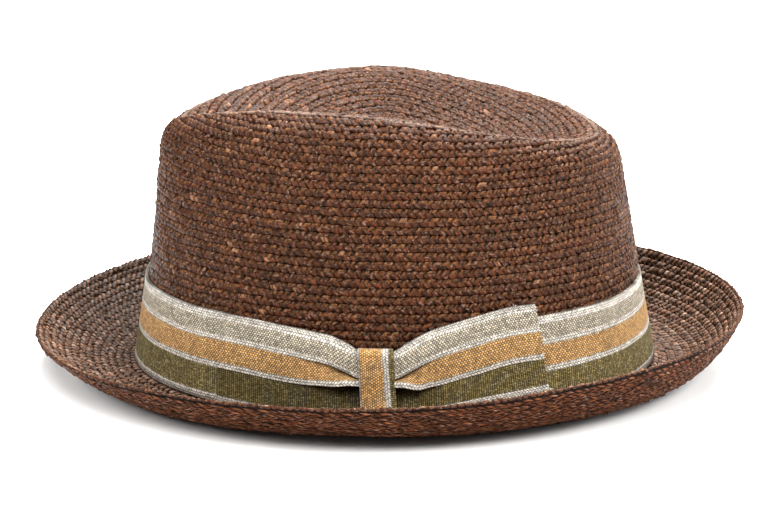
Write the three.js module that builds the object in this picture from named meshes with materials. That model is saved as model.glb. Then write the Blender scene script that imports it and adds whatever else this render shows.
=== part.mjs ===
// A braided straw hat: teardrop crown with a dent, short upturned brim, striped ribbon and flat bow.
// Millimetres, +Z up. The front of the hat is at -Y and the bow is on the +X side.
// The underside of the brim lies on z = 0 in a flat ring below the crown wall.

import * as THREE from 'three';

// Driving dimensions
const HEAD_HALF_LENGTH = 102.6;
const HEAD_HALF_WIDTH = 86.5;
const STRAW = 2.0;
const SEAM_GAP = 0.3;
const RIBBON = 1.0;
const RIBBON_GAP = 0.4;
const DENT_FLOOR = 77.0;
const DENT_CENTRE_Y = 2.0;
const RIM_FALL = 0.10;
const FOLD_INSET = 0.6;
const FOLD_DROP = 3.2;
const SEGMENTS = 72;

// Brim: width and lip height vary around the head as cosine terms of the angle from the front
const BRIM_WIDTH = { mean: 35.6, cos1: 2.3 };
const LIP_HEIGHT = { mean: 19.6, cos1: -4.9, cos3: -0.65 };
const BRIM_CURL = { mean: 0.70, cos1: -0.30 };
const SEAT_WIDTH = 1.5;

// Ribbon: heights of its two edges around the head
const RIBBON_TOP = { mean: 37.2, cos1: -0.5 };
const RIBBON_BOTTOM = { mean: 3.9, cos1: -0.6 };

// Crown, every 30 degrees from the front: the top of the fold, how far the wall has leaned in
// at four shares of its height, and the width of the rounded top of the rim
const CROWN = [
  { angle: 0, x: 0.0, y: -83.0, z: 97.0, at38: 0.30, at62: 0.43, at82: 0.52, at94: 0.64, rim: 2.0 },
  { angle: 30, x: 16.0, y: -73.0, z: 101.0, at38: 0.19, at62: 0.36, at82: 0.57, at94: 0.78, rim: 2.0 },
  { angle: 60, x: 38.5, y: -44.0, z: 106.2, at38: 0.13, at62: 0.30, at82: 0.55, at94: 0.78, rim: 3.0 },
  { angle: 90, x: 57.0, y: -3.5, z: 107.0, at38: 0.12, at62: 0.31, at82: 0.56, at94: 0.78, rim: 8.0 },
  { angle: 120, x: 54.0, y: 37.0, z: 100.6, at38: 0.17, at62: 0.38, at82: 0.60, at94: 0.79, rim: 7.0 },
  { angle: 150, x: 35.5, y: 65.5, z: 95.2, at38: 0.23, at62: 0.42, at82: 0.59, at94: 0.76, rim: 6.0 },
  { angle: 180, x: 0.0, y: 77.0, z: 92.0, at38: 0.27, at62: 0.43, at82: 0.57, at94: 0.73, rim: 6.0 },
];
const HEIGHT_SHARES = [0, 0.38, 0.62, 0.82, 0.945, 1];

// How far the ribbon's top edge is drawn down where the knot gathers it
const GATHER = [
  { y: -64, down: 0.0 },
  { y: -42, down: 1.9 },
  { y: -24, down: 4.6 },
  { y: -14, down: 7.6 },
  { y: -6, down: 9.4 },
  { y: 1, down: 8.8 },
  { y: 5, down: 5.8 },
  { y: 10, down: 3.8 },
  { y: 20, down: 1.2 },
  { y: 30, down: 0.0 },
];

// Bow pieces from their free end to the knot: edge heights, the pleat's height, its swell, and the lift
const FRONT_LOOP = [
  { y: -64.0, top: 37.3, pleat: 17.6, bottom: 3.9, swell: 0.0, lift: 0.0 },
  { y: -52.0, top: 37.1, pleat: 17.6, bottom: 3.8, swell: 0.2, lift: 0.0 },
  { y: -42.0, top: 36.3, pleat: 17.4, bottom: 3.7, swell: 0.6, lift: 0.1 },
  { y: -32.0, top: 35.0, pleat: 17.0, bottom: 3.6, swell: 1.1, lift: 0.2 },
  { y: -24.0, top: 33.6, pleat: 16.8, bottom: 3.9, swell: 1.7, lift: 0.2 },
  { y: -16.0, top: 31.2, pleat: 17.0, bottom: 4.6, swell: 1.8, lift: 0.1 },
  { y: -12.3, top: 28.3, pleat: 17.4, bottom: 5.3, swell: 1.0, lift: 0.0 },
  { y: -6.0, top: 28.0, pleat: 17.4, bottom: 5.6, swell: 0.9, lift: 0.0 },
];
const BACK_TAIL = [
  { y: 54.8, top: 43.0, pleat: 24.6, bottom: 10.6, swell: 0.0, lift: 0.9 },
  { y: 43.0, top: 42.6, pleat: 22.4, bottom: 9.8, swell: 0.1, lift: 0.6 },
  { y: 29.0, top: 40.0, pleat: 19.6, bottom: 8.6, swell: 0.4, lift: 0.4 },
  { y: 17.7, top: 37.2, pleat: 17.2, bottom: 7.2, swell: 1.1, lift: 0.3 },
  { y: 9.4, top: 34.5, pleat: 15.4, bottom: 6.2, swell: 1.9, lift: 0.2 },
  { y: 3.8, top: 31.5, pleat: 16.2, bottom: 5.7, swell: 1.8, lift: 0.1 },
  { y: 0.7, top: 28.3, pleat: 17.2, bottom: 5.4, swell: 1.0, lift: 0.0 },
  { y: -5.4, top: 28.0, pleat: 17.4, bottom: 5.6, swell: 0.9, lift: 0.0 },
];
const TAIL_SLANT = 0.10;
const BOW_CLOTH = 1.2;
const BOW_STEP = 2.6;

// Across a bow piece, from its top edge down: share of the way to the pleat or to the bottom edge,
// and the share of the swell
const BOW_SECTION = [
  { part: 'upper', share: 0.00, swell: 0.15 },
  { part: 'upper', share: 0.18, swell: 0.55 },
  { part: 'upper', share: 0.45, swell: 0.90 },
  { part: 'upper', share: 0.75, swell: 1.00 },
  { part: 'upper', share: 1.00, swell: 0.80 },
  { part: 'lower', share: 0.10, swell: 0.10 },
  { part: 'lower', share: 0.50, swell: 0.00 },
  { part: 'lower', share: 1.00, swell: 0.00 },
];

const KNOT = { yFront: -12.1, yBack: 0.5, top: 30.0, bottom: 3.7, slant: 0.05, out: 5.4, corner: 1.8 };

const COLOURS = { straw: 0x6f4a38, ribbon: 0xb9a583, bow: 0xc2a878, knot: 0xb8935a };

// Curve through uneven points, with the slope at each point taken from its two neighbours
function curveThrough(xs, ys, x) {
  const last = xs.length - 1;
  const at = THREE.MathUtils.clamp(x, xs[0], xs[last]);
  let i = 0;
  while (i < last - 1 && at > xs[i + 1]) i += 1;
  const slope = (k) => {
    const before = Math.max(k - 1, 0);
    const after = Math.min(k + 1, last);
    return (ys[after] - ys[before]) / (xs[after] - xs[before]);
  };
  const span = xs[i + 1] - xs[i];
  const t = (at - xs[i]) / span;
  const startWeight = (1 + 2 * t) * (1 - t) ** 2;
  const endWeight = t * t * (3 - 2 * t);
  const startSlope = span * slope(i) * t * (1 - t) ** 2;
  const endSlope = span * slope(i + 1) * t * t * (t - 1);
  return startWeight * ys[i] + endWeight * ys[i + 1] + startSlope + endSlope;
}

function cosineSum(terms, phi) {
  const { mean, cos1 = 0, cos3 = 0 } = terms;
  return mean + cos1 * Math.cos(phi) + cos3 * Math.cos(3 * phi);
}

// One column of the crown table at any angle; x changes sign on the far side, the others are even
function crownValue(column, phi) {
  const degrees = THREE.MathUtils.euclideanModulo(THREE.MathUtils.radToDeg(phi), 360);
  const mirrored = degrees > 180;
  const angle = mirrored ? 360 - degrees : degrees;
  const sign = column === 'x' ? -1 : 1;
  const rows = CROWN.map((row) => ({ angle: row.angle, value: row[column] }));
  const first = { angle: -rows[1].angle, value: sign * rows[1].value };
  const beyond = rows[rows.length - 2];
  const end = { angle: 360 - beyond.angle, value: sign * beyond.value };
  const all = [first, ...rows, end];
  const value = curveThrough(all.map((row) => row.angle), all.map((row) => row.value), angle);
  return mirrored ? sign * value : value;
}

// The head oval at an angle, moved outwards along its normal
function ovalPoint(phi, out) {
  const point = new THREE.Vector2(HEAD_HALF_WIDTH * Math.sin(phi), -HEAD_HALF_LENGTH * Math.cos(phi));
  const normal = new THREE.Vector2(HEAD_HALF_LENGTH * Math.sin(phi), -HEAD_HALF_WIDTH * Math.cos(phi));
  return point.addScaledVector(normal.normalize(), out);
}

function leanAt(phi, share) {
  const leans = [0, 'at38', 'at62', 'at82', 'at94', 1].map((key) => (
    typeof key === 'string' ? crownValue(key, phi) : key
  ));
  return curveThrough(HEIGHT_SHARES, leans, share);
}

function foldPoint(phi) {
  return new THREE.Vector3(crownValue('x', phi), crownValue('y', phi), crownValue('z', phi));
}

// Crown wall at a share of its height; depth 0 is the outer face and 1 the inner face
function wallPoint(phi, share, depth) {
  const foot = ovalPoint(phi, -depth * STRAW);
  const fold = foldPoint(phi);
  const top = new THREE.Vector2(fold.x, fold.y - DENT_CENTRE_Y);
  top.multiplyScalar(1 - depth * FOLD_INSET / top.length());
  top.y += DENT_CENTRE_Y;
  const plan = foot.lerp(top, leanAt(phi, share));
  const low = STRAW + SEAM_GAP;
  const high = fold.z - depth * FOLD_DROP;
  return new THREE.Vector3(plan.x, plan.y, THREE.MathUtils.lerp(low, high, share));
}

// Dent from the fold (share 0) to its centre (share 1)
function dentPoint(phi, share, depth) {
  const fold = foldPoint(phi);
  const reach = Math.hypot(fold.x, fold.y - DENT_CENTRE_Y);
  const rim = crownValue('rim', phi);
  const rimShare = rim / reach;
  const inward = THREE.MathUtils.clamp((share - rimShare) / (1 - rimShare), 0, 1);
  const fall = 1 - (1 - (1 - inward) ** 1.7) ** 1.25;
  const floor = DENT_FLOOR - depth * STRAW;
  const high = fold.z - depth * FOLD_DROP;
  const onRim = RIM_FALL * rim * (1 - Math.min(share / rimShare, 1));
  const z = floor + (high - floor - RIM_FALL * rim) * fall + onRim;
  const start = wallPoint(phi, 1, depth);
  const plan = new THREE.Vector2(start.x, start.y).lerp(new THREE.Vector2(0, DENT_CENTRE_Y), share);
  return new THREE.Vector3(plan.x, plan.y, z);
}

// A point beside the crown wall at a height, moved outwards by a distance
function besideWall(phi, z, out) {
  const low = STRAW + SEAM_GAP;
  const share = (z - low) / (crownValue('z', phi) - low);
  const wall = wallPoint(phi, share, 0);
  const outwards = ovalPoint(phi, out).sub(ovalPoint(phi, 0));
  return new THREE.Vector3(wall.x + outwards.x, wall.y + outwards.y, z);
}

// Brim from the inside of the crown wall (distance -STRAW) to the lip; side 0 is its top, 1 its underside
function brimTop(phi, distance) {
  const width = cosineSum(BRIM_WIDTH, phi);
  const run = Math.max(0, distance - SEAT_WIDTH) / (width - SEAT_WIDTH);
  const curl = cosineSum(BRIM_CURL, phi);
  const rise = (1 - curl) * run + curl * run ** 3;
  const plan = ovalPoint(phi, distance);
  return new THREE.Vector3(plan.x, plan.y, STRAW + (cosineSum(LIP_HEIGHT, phi) - STRAW) * rise);
}

function brimPoint(phi, distance, side) {
  const top = brimTop(phi, distance);
  if (side === 0) return top;
  const step = 0.5;
  const slope = (brimTop(phi, distance + step).z - top.z) / step;
  const outwards = ovalPoint(phi, 1).sub(ovalPoint(phi, 0));
  const length = Math.hypot(1, slope);
  const across = STRAW * slope / length;
  const bottom = Math.max(0, top.z - STRAW / length);
  return new THREE.Vector3(top.x + outwards.x * across, top.y + outwards.y * across, bottom);
}

// A closed body from vertices and triangles, turned so that its faces point outwards
function bodyGeometry(points, triangles) {
  let volume = 0;
  triangles.forEach(([a, b, c]) => {
    volume += points[a].dot(new THREE.Vector3().crossVectors(points[b], points[c]));
  });
  const order = volume > 0 ? triangles : triangles.map(([a, b, c]) => [a, c, b]);
  const geometry = new THREE.BufferGeometry();
  geometry.setAttribute('position', new THREE.Float32BufferAttribute(points.flatMap((p) => p.toArray()), 3));
  geometry.setIndex(order.flat());
  geometry.computeVertexNormals();
  return geometry;
}

function angles() {
  return Array.from({ length: SEGMENTS }, (_, i) => (i * 2 * Math.PI) / SEGMENTS);
}

// Triangles between rows of points; wrap closes the rows or the columns on themselves
function gridTriangles(rows, columns, wrapRows, wrapColumns, start = 0) {
  const triangles = [];
  const rowEnd = wrapRows ? rows : rows - 1;
  const columnEnd = wrapColumns ? columns : columns - 1;
  for (let r = 0; r < rowEnd; r += 1) {
    for (let c = 0; c < columnEnd; c += 1) {
      const a = start + r * columns + c;
      const b = start + r * columns + ((c + 1) % columns);
      const d = start + ((r + 1) % rows) * columns + c;
      const e = start + ((r + 1) % rows) * columns + ((c + 1) % columns);
      triangles.push([a, b, e], [a, e, d]);
    }
  }
  return triangles;
}

// A body swept round the head from one closed section for each angle
function sweptRing(section) {
  const rings = angles().map((phi) => section(phi));
  const points = rings.flat();
  return bodyGeometry(points, gridTriangles(rings.length, rings[0].length, true, true));
}

// A hollow cap: one row of points from the outer pole over the rim and back to the inner pole
function cappedShell(meridian, outerPole, innerPole) {
  const spokes = angles().map((phi) => meridian(phi));
  const columns = spokes[0].length;
  const points = [...spokes.flat(), outerPole, innerPole];
  const triangles = gridTriangles(spokes.length, columns, true, false);
  const outer = points.length - 2;
  const inner = points.length - 1;
  spokes.forEach((_, i) => {
    const here = i * columns;
    const next = ((i + 1) % spokes.length) * columns;
    triangles.push([outer, here, next]);
    triangles.push([inner, next + columns - 1, here + columns - 1]);
  });
  return bodyGeometry(points, triangles);
}

// A slab between two grids of the same size, closed along its four edges
function slab(front, back) {
  const rows = front.length;
  const columns = front[0].length;
  const count = rows * columns;
  const points = [...front.flat(), ...back.flat()];
  const triangles = gridTriangles(rows, columns, false, false);
  gridTriangles(rows, columns, false, false, count).forEach(([a, b, c]) => triangles.push([a, c, b]));
  const border = [];
  for (let c = 0; c < columns - 1; c += 1) border.push(c);
  for (let r = 0; r < rows - 1; r += 1) border.push(r * columns + columns - 1);
  for (let c = columns - 1; c > 0; c -= 1) border.push((rows - 1) * columns + c);
  for (let r = rows - 1; r > 0; r -= 1) border.push(r * columns);
  border.forEach((a, i) => {
    const b = border[(i + 1) % border.length];
    triangles.push([a, a + count, b + count], [a, b + count, b]);
  });
  return bodyGeometry(points, triangles);
}

const WALL_ROWS = [0, 0.13, 0.26, 0.38, 0.5, 0.62, 0.73, 0.82, 0.89, 0.945, 0.98];
const DENT_ROWS = [0, 0.06, 0.14, 0.25, 0.40, 0.60, 0.80];
const INNER_WALL_ROWS = [0, 0.26, 0.5, 0.73, 0.89, 0.97];

function crownGeometry() {
  const meridian = (phi) => [
    ...DENT_ROWS.toReversed().map((share) => dentPoint(phi, share, 0)),
    ...WALL_ROWS.toReversed().map((share) => wallPoint(phi, share, 0)),
    ...INNER_WALL_ROWS.map((share) => wallPoint(phi, share, 1)),
    ...DENT_ROWS.map((share) => dentPoint(phi, share, 1)),
  ];
  const pole = (depth) => new THREE.Vector3(0, DENT_CENTRE_Y, DENT_FLOOR - depth * STRAW);
  return cappedShell(meridian, pole(0), pole(1));
}

function brimGeometry() {
  const shares = [0.15, 0.3, 0.45, 0.6, 0.73, 0.85, 0.93, 1];
  return sweptRing((phi) => {
    const width = cosineSum(BRIM_WIDTH, phi);
    const run = shares.map((share) => THREE.MathUtils.lerp(SEAT_WIDTH, width, share));
    const distances = [-STRAW, SEAT_WIDTH, ...run];
    const top = distances.map((distance) => brimPoint(phi, distance, 0));
    const bottom = distances.map((distance) => brimPoint(phi, distance, 1));
    return [...top, ...bottom.toReversed()];
  });
}

function angleAt(y) {
  return Math.acos(-y / HEAD_HALF_LENGTH);
}

function bandGeometry() {
  return sweptRing((phi) => {
    const nearSide = Math.sin(phi) > 0;
    const y = -HEAD_HALF_LENGTH * Math.cos(phi);
    const down = nearSide ? curveThrough(GATHER.map((row) => row.y), GATHER.map((row) => row.down), y) : 0;
    const top = cosineSum(RIBBON_TOP, phi) - down;
    const bottom = cosineSum(RIBBON_BOTTOM, phi);
    const heights = [0, 0.25, 0.5, 0.75, 1].map((share) => THREE.MathUtils.lerp(bottom, top, share));
    const outer = heights.map((z) => besideWall(phi, z, RIBBON_GAP + RIBBON));
    const inner = heights.toReversed().map((z) => besideWall(phi, z, RIBBON_GAP));
    return [...outer, ...inner];
  });
}

// One flat piece of the bow, lying on the band, with its pleat standing out over its lower part
function bowGeometry(table, slant) {
  const byY = table.toSorted((a, b) => a.y - b.y);
  const ys = byY.map((row) => row.y);
  const column = (key, y) => curveThrough(ys, byY.map((row) => row[key]), y);
  const steps = Math.ceil((ys[ys.length - 1] - ys[0]) / BOW_STEP);
  const seat = RIBBON_GAP + RIBBON + SEAM_GAP;
  const grid = (thick) => Array.from({ length: steps + 1 }, (_, i) => {
    const y = THREE.MathUtils.lerp(ys[0], ys[ys.length - 1], i / steps);
    const free = THREE.MathUtils.clamp((y - ys[0]) / (ys[ys.length - 1] - ys[0]), 0, 1);
    return BOW_SECTION.map(({ part, share, swell }) => {
      const from = part === 'upper' ? column('top', y) : column('pleat', y);
      const to = part === 'upper' ? column('pleat', y) : column('bottom', y);
      const z = THREE.MathUtils.lerp(from, to, share);
      const leaned = y - slant * free * (z - column('pleat', y));
      const out = seat + column('lift', y) + thick * (BOW_CLOTH + column('swell', y) * swell);
      return besideWall(angleAt(leaned), z, out);
    });
  });
  return slab(grid(1), grid(0));
}

// The knot: a strip of ribbon over the gathered ends, turned in at its top and bottom
function knotGeometry() {
  const { yFront, yBack, top, bottom, slant, corner } = KNOT;
  const seat = RIBBON_GAP + RIBBON + SEAM_GAP;
  const path = (grow) => [
    { z: top + grow, out: seat },
    { z: top + grow, out: KNOT.out + grow - corner },
    { z: top + grow - corner * 0.3, out: KNOT.out + grow - corner * 0.3 },
    { z: top + grow - corner, out: KNOT.out + grow },
    { z: (top + bottom) / 2, out: KNOT.out + grow },
    { z: bottom - grow + corner, out: KNOT.out + grow },
    { z: bottom - grow + corner * 0.3, out: KNOT.out + grow - corner * 0.3 },
    { z: bottom - grow, out: KNOT.out + grow - corner },
    { z: bottom - grow, out: seat },
  ];
  const columns = 4;
  const grid = (grow) => Array.from({ length: columns + 1 }, (_, i) => (
    path(grow).map(({ z, out }) => {
      const y = THREE.MathUtils.lerp(yFront, yBack, i / columns) + slant * (top - z);
      return besideWall(angleAt(y), z, out);
    })
  ));
  return slab(grid(0), grid(-BOW_CLOTH));
}

function part(name, geometry, colour) {
  const material = new THREE.MeshStandardMaterial({ color: colour, roughness: 0.8, metalness: 0 });
  const mesh = new THREE.Mesh(geometry, material);
  mesh.name = name;
  return mesh;
}

const hat = new THREE.Group();
hat.add(part('crown', crownGeometry(), COLOURS.straw));
hat.add(part('brim', brimGeometry(), COLOURS.straw));
hat.add(part('hat_band', bandGeometry(), COLOURS.ribbon));
hat.add(part('bow_loop_front', bowGeometry(FRONT_LOOP, 0), COLOURS.bow));
hat.add(part('bow_tail_back', bowGeometry(BACK_TAIL, TAIL_SLANT), COLOURS.bow));
hat.add(part('bow_knot', knotGeometry(), COLOURS.knot));

// The brim is longer in front than behind, so the head oval sits back from the middle of the hat,
// and the origin lies under the middle of the whole
hat.position.y = -new THREE.Box3().setFromObject(hat).getCenter(new THREE.Vector3()).y;

export default hat;
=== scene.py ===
import math

import bpy
import numpy as np
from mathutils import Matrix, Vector


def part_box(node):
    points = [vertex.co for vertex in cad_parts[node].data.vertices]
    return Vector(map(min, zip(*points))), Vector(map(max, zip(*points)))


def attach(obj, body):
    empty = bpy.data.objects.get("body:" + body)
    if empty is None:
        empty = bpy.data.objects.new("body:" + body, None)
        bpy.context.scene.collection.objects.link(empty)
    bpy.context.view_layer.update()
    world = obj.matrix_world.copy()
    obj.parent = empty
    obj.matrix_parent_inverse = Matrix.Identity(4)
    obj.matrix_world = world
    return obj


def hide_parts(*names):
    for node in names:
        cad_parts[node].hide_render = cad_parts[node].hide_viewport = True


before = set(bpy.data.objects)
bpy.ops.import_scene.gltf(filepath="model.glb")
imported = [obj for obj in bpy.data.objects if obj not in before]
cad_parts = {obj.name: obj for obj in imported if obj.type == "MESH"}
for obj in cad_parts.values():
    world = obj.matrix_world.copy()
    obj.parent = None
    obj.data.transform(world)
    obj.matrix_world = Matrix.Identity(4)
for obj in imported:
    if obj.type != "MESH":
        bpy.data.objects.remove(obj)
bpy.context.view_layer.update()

# Straw hat: rows of sewn braid over a thin shell, a striped ribbon and a flat bow.
# Shapes are worked out in millimetres in the hat's own frame, before it is centred on the origin.
# The front of the hat is at -Y and the bow is on the +X side.

MM = 0.001
CROWN_LOW, CROWN_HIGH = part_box("crown")
OVAL_CENTRE_Y = (CROWN_LOW[1] + CROWN_HIGH[1]) / 2 / MM

# Driving dimensions, the same as the part's
HEAD_HALF_LENGTH = 102.6
HEAD_HALF_WIDTH = 86.5
STRAW = 2.0
SEAM_GAP = 0.3
RIBBON = 1.0
RIBBON_GAP = 0.4
DENT_FLOOR = 77.0
DENT_CENTRE_Y = 2.0
DENT_BOWL, DENT_SIDE = 1.7, 1.25
RIM_FALL = 0.10
FOLD_INSET = 0.6
FOLD_DROP = 3.2
BRIM_WIDTH = (35.6, 2.3, 0.0)
LIP_HEIGHT = (19.6, -4.9, -0.65)
BRIM_CURL = (0.70, -0.30, 0.0)
SEAT_WIDTH = 1.5
RIBBON_TOP = (37.2, -0.5, 0.0)
RIBBON_BOTTOM = (3.9, -0.6, 0.0)

# Crown, every 30 degrees from the front: the fold's place and height, how far the wall has leaned
# in at shares of its height, and how wide the fold's rounded rim is
CROWN_COLUMNS = ("x", "y", "z", "at38", "at62", "at82", "at94", "rim")
CROWN = (
    (0, -83.0, 97.0, 0.30, 0.43, 0.52, 0.64, 2.0),
    (16.0, -73.0, 101.0, 0.19, 0.36, 0.57, 0.78, 2.0),
    (38.5, -44.0, 106.2, 0.13, 0.30, 0.55, 0.78, 3.0),
    (57.0, -3.5, 107.0, 0.12, 0.31, 0.56, 0.78, 8.0),
    (54.0, 37.0, 100.6, 0.17, 0.38, 0.60, 0.79, 7.0),
    (35.5, 65.5, 95.2, 0.23, 0.42, 0.59, 0.76, 6.0),
    (0, 77.0, 92.0, 0.27, 0.43, 0.57, 0.73, 6.0),
)
HEIGHT_SHARES = (0.0, 0.38, 0.62, 0.82, 0.945, 1.0)

# The straw stands proud of the part's smooth form: all of it higher by PROUD_TOP, and further out
# at the back and at its top corner
PROUD_TOP, PROUD_BACK, PROUD_CORNER = 1.3, 1.2, 1.3

# How much higher the lip is bent than the part's, and how much more the brim curls, every
# 20 degrees from the front
LIP_BEND = (2.4, 1.3, 0.9, 0.6, 0.2, 0.6, 2.0, 1.6, 0.3, 0.0, 0.5, 1.9, 2.6, 3.2, 3.7, 4.0, 3.9, 3.3)
CURL_BEND = (0.1, 0.3, 0.5, 0.45, 0.2, 0.1) + 12 * (0.0,)

# How far the brim's straw climbs where it meets the ribbon, how round its lip is, and how much of
# the brim's width its underside takes up to the seam below the lip
HEEL_RISE = 1.4
LIP_ROUND = 1.1
UNDER_END = 0.99

# How far the ribbon's top edge is drawn down where the knot gathers it: y, down
GATHER = (
    (-64, 0), (-42, 1.9), (-24, 4.6), (-14, 7.6), (-6, 9.4),
    (1, 8.8), (5, 5.8), (10, 3.8), (20, 1.2), (30, 0),
)

# Bow pieces: y, top, ochre left showing, bottom, swell, lift
FRONT_LOOP = (
    (-64.0, 37.3, 8.0, 3.9, 0, 0),
    (-52.0, 37.1, 8.0, 3.8, 0.2, 0),
    (-42.0, 36.5, 7.9, 3.7, 0.6, 0.1),
    (-32.0, 35.6, 7.2, 3.6, 1.1, 0.2),
    (-22.0, 34.2, 5.3, 3.9, 1.7, 0.2),
    (-18.6, 33.0, 3.6, 4.3, 1.9, 0.2),
    (-15.0, 31.2, 1.5, 4.8, 1.7, 0.1),
    (-12.3, 29.4, 0.2, 5.3, 1.0, 0),
    (-6.0, 29.0, 0.2, 5.6, 0.9, 0),
)
BACK_TAIL = (
    (-5.4, 29.0, 0.2, 5.6, 0.9, 0),
    (0.7, 29.2, 0.2, 5.4, 1.0, 0),
    (4.5, 31.3, 1.9, 5.7, 1.8, 0.1),
    (9.1, 34.0, 5.7, 6.2, 2.0, 0.2),
    (13.4, 36.0, 7.0, 6.7, 1.6, 0.2),
    (17.7, 37.5, 7.9, 7.2, 1.1, 0.3),
    (29.0, 40.0, 8.0, 8.6, 0.4, 0.4),
    (43.0, 42.6, 8.0, 9.8, 0.1, 0.6),
    (54.8, 43.0, 8.0, 10.6, 0, 0.9),
)

# The slant of the tail's cut end, how far the bow swells, the knot's edges, slant, height and
# rounding, the flat share of its width, how far its edges turn in, where its edge lies on the
# ribbon, and the thickness, seat and steps of the bow's cloth
TAIL_SLANT = 0.10
BOW_SWELL = 1.7
KNOT_FRONT, KNOT_BACK, KNOT_TOP, KNOT_BOTTOM = -12.1, 0.5, 30.0, 3.7
KNOT_SLANT, KNOT_OUT, KNOT_CORNER = 0.05, 5.6, 1.8
KNOT_FLAT, KNOT_TUCK = 0.72, 0.9
KNOT_EDGE_PLACE = 10.1
CLOTH = 0.8
BOW_SEAT = RIBBON_GAP + RIBBON + SEAM_GAP
BOW_STEP = 0.8

# Loose threads: how thick, how many at the cut edge and in each tuft, the top tuft's place, and how
# far behind the cut edge they start
THREAD, EDGE_THREADS, TUFT_THREADS = 0.35, 26, 7
TUFT_PLACE, TUFT_HEIGHT = 45.5, 42.4
THREAD_SEAT = 0.3

# The painted shade in the fold beside the knot: how dark, how far from the knot and how far down it
# reaches
FOLD_SHADE, FOLD_SHADE_REACH, FOLD_SHADE_DROP = 0.95, 16.0, 13.0

# Across a bow piece, from its top edge down: place on the flat ribbon, what its height is
# measured from, millimetres below that (from low, the share of the way to the bottom edge), and
# how far it swells, flat and pinched at the knot
BOW_SECTION = (
    (0, "top", 0, 0.10, 0.10),
    (1.4, "top", 1.0, 0.40, 0.45),
    (2.8, "top", 2.5, 0.65, 0.75),
    (5.6, "top", 5.3, 0.95, 1.05),
    (8.5, "top", 8.2, 1.00, 1.15),
    (10.3, "top", 10.1, 1.00, 1.00),
    (10.6, "ochre", -0.1, 0.95, 0.35),
    (11.2, "ochre", 0.1, 0.95, 0.30),
    (14.6, "middle", 0, 0.95, 0.70),
    (18.6, "white", 0, 0.90, 1.15),
    (20.0, "white", 1.4, 0.85, 1.35),
    (20.9, "olive", 0, 0.80, 1.25),
    (21.4, "olive", 0.2, 0.75, 0.15),
    (24.0, "low", 0.25, 0.60, 0.00),
    (28.0, "low", 0.56, 0.35, 0.00),
    (31.2, "low", 0.80, 0.15, 0.00),
    (34.0, "low", 1.00, 0.00, 0.00),
)
RIBBON_SCALE = 0.979

# Ribbon stripes from its top edge down: width in millimetres and colour
WHITE = (0.41, 0.375, 0.325)
SAGE = (0.305, 0.263, 0.197)
OCHRE = (0.41, 0.226, 0.080)
OLIVE = (0.125, 0.093, 0.032)
STRIPES = (
    (2.8, WHITE), (5.7, SAGE), (2.1, WHITE), (8.0, OCHRE), (2.3, WHITE), (10.3, OLIVE), (2.8, WHITE),
)
RIBBON_WIDTH = sum(width for width, _ in STRIPES)
OCHRE_START = sum(width for width, _ in STRIPES[:3])
OCHRE_WIDTH, LOW_WHITE_WIDTH = STRIPES[3][0], STRIPES[4][0]

# The thread that runs straight across the ribbon, the palest threads of the olive stripe, and
# thread pitches in millimetres
WEFT = (0.09, 0.085, 0.07)
OLIVE_WEFT = (0.030, 0.024, 0.010)
OLIVE_PICK = (0.36, 0.33, 0.17)
WEAVE_ALONG, WEAVE_ACROSS, WEAVE_SLANT = 1.00, 0.72, 0.0
TWILL_ALONG, TWILL_ACROSS, TWILL_SLANT = 1.12, 0.95, 0.60
RIB_ALONG, RIB_ACROSS = 0.76, 0.60

# The band is stretched, so it has fewer threads to the millimetre than the bow
BAND_WEAVE = 0.82

# Braid: rows of lobes. Each lobe rises steeply from its notch and falls slowly to the next, or the
# other way round on the brim; a row's inner lobes stand half a lobe further on. A surface is read
# from a table with TABLE_STEPS to a row; the shell has a section every SHELL_STEP columns.
LOBE = 3.0
STEEP_LOBE = ((0.0, 0.14, 0.50, 0.64), (0.0, 0.85, 1.0, 0.92))
BACK_LOBE = ((0.0, 0.36, 0.50, 0.86), (0.0, 0.92, 1.0, 0.85))
CROWN_ROWS = 56
CROWN_FIRST_ROW = 7
BRIM_ROWS = 15
COLUMNS = 720
TABLE_STEPS = 8
SHELL_STEP = 2.5

# How uneven lobes are in place, size and tilt, how deep the notches between them cut into a row's
# edge, how far a row strays, and the share of a row where the edge lobes meet the inner ones
PLACE_SPREAD, TILT_SPREAD = 0.13, 0.07
EDGE_SPREAD, INNER_SPREAD = 0.22, 0.30
SCALLOP, STRAY = 0.10, 0.045
LOBES_MEET = 0.58

# How many rows wide the painted highlight along the fold is, how much wider for each millimetre of
# its rim, and a row far from any, for a surface without a fold
FOLD_WIDTH, FOLD_SPREAD = 0.22, 0.10
NO_FOLD = -9.0

# One braid row from its exposed edge (0) to where the next row covers it (1):
# share, height in the notches, extra height of an edge lobe, extra height of an inner lobe
BRAID_PROFILE = (
    (-0.03, -1.7, 0, 0),
    (0, -0.75, 0.45, 0),
    (0.06, -0.5, 0.42, 0),
    (0.3, -0.4, 0.4, 0),
    (0.52, -0.62, 0.35, 0.1),
    (0.64, -1.0, 0.05, 0.85),
    (0.95, -1.1, 0, 1.0),
    (1.01, -1.7, 0, 0),
)
DENT_PROFILE = (
    (-0.03, -0.8, 0, 0),
    (0, -0.58, 0.4, 0),
    (0.06, -0.48, 0.45, 0),
    (0.3, -0.42, 0.42, 0),
    (0.52, -0.6, 0.35, 0.1),
    (0.64, -0.66, 0.05, 0.56),
    (0.96, -0.62, 0, 0.6),
    (1.01, -0.8, 0, 0),
)
RUNG_PROFILE = (
    (-0.03, -1.6, 0, 0),
    (0, -0.85, 0.5, 0),
    (0.08, -0.6, 0.5, 0),
    (0.34, -0.5, 0.5, 0),
    (0.58, -0.65, 0.4, 0.05),
    (0.69, -1.0, 0.05, 0.62),
    (0.95, -1.05, 0, 0.72),
    (1.01, -1.6, 0, 0),
)
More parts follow.
